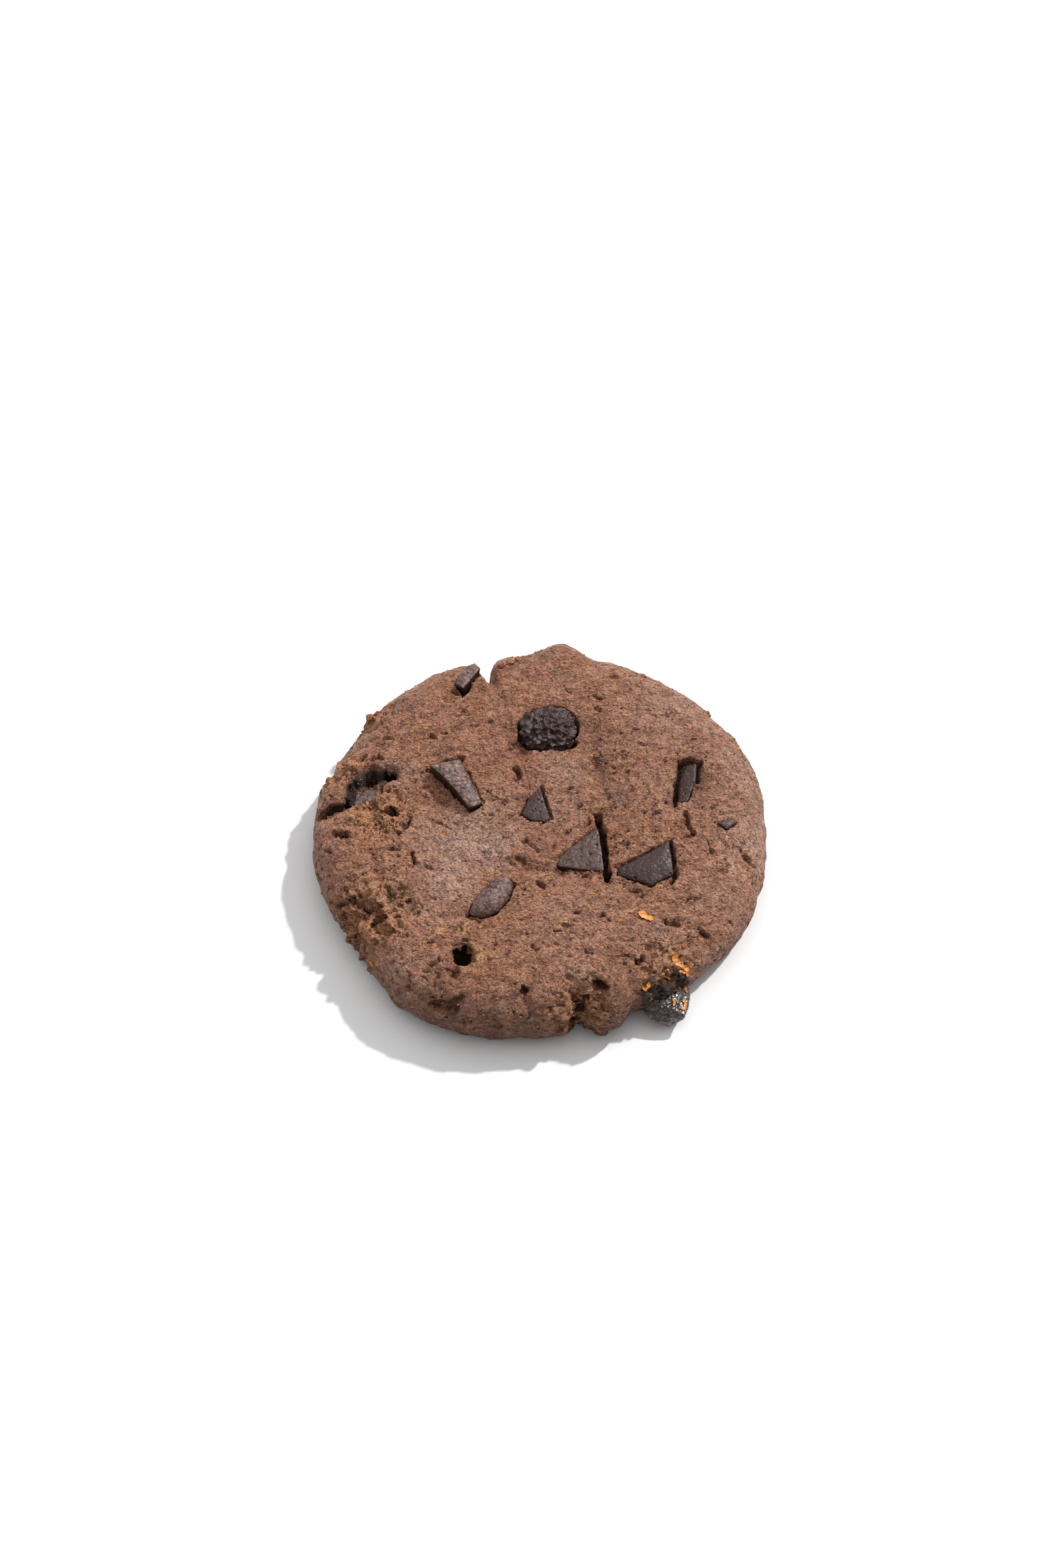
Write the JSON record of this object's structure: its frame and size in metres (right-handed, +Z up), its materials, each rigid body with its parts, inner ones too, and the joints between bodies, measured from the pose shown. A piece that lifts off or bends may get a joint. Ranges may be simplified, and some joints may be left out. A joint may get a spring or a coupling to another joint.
{
  "type": "soft-baked chocolate chunk cookie",
  "caption": "Round soft-baked cocoa cookie with embedded dark chocolate chunks, a glossy chunk at the rim and shreds of orange zest.",
  "frame": {"origin": "middle of the flat underside, at the centre of the outline's box", "axes": "+Z up out of the baked top, +X to the right and -Y towards the viewer of the picture"},
  "size_m": [0.0802, 0.0824, 0.0145],
  "materials": {
    "baked_dough": "dry, finely pitted baked cocoa dough, dull",
    "dark_chocolate": "dark chocolate with a dull bloom, satin",
    "melted_chocolate": "wrinkled dark chocolate that melted and set, glossy"
  },
  "bodies": {
    "root": {"dough": "baked_dough", "chunk_slab": "dark_chocolate", "chunk_wedge": "dark_chocolate", "chunk_centre": "dark_chocolate", "chunk_right": "dark_chocolate", "chunk_almond": "dark_chocolate", "chunk_slot": "dark_chocolate", "chunk_slit": "dark_chocolate", "chunk_left_edge": "dark_chocolate", "chunk_sliver": "dark_chocolate", "chunk_crumbly": "dark_chocolate", "chunk_rim": "melted_chocolate"}
  },
  "joints": []
}
